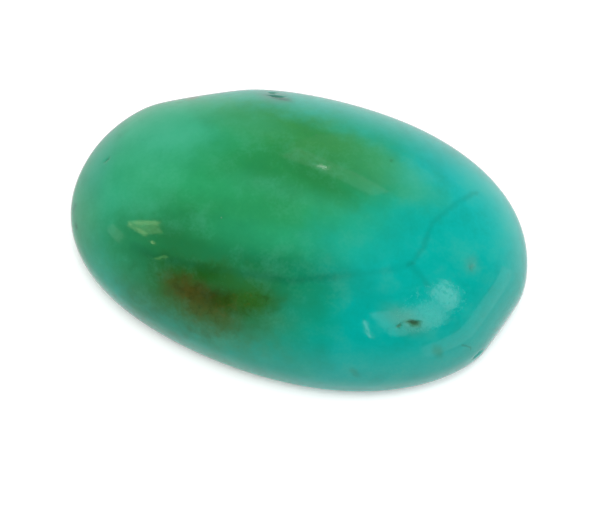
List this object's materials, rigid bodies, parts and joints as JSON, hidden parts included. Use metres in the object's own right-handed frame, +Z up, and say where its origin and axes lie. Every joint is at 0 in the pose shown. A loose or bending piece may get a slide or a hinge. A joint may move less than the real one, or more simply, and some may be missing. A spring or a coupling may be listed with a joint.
{
  "type": "oval turquoise cabochon",
  "caption": "Oval cabochon of turquoise with a high polished dome, a rounded girdle and a flat ground back, for setting in jewellery.",
  "frame": {"origin": "middle of the flat back, under the middle of the stone's outline", "axes": "+X along the stone's length, +Y across its width, +Z up from the back to the top of the dome"},
  "size_m": [0.018, 0.0114, 0.0052],
  "materials": {
    "turquoise": "polished dome, blue-green to green with brown matrix stains and fine dark veins; ground matt back"
  },
  "bodies": {
    "root": {"turquoise_cabochon": "turquoise"}
  },
  "joints": []
}
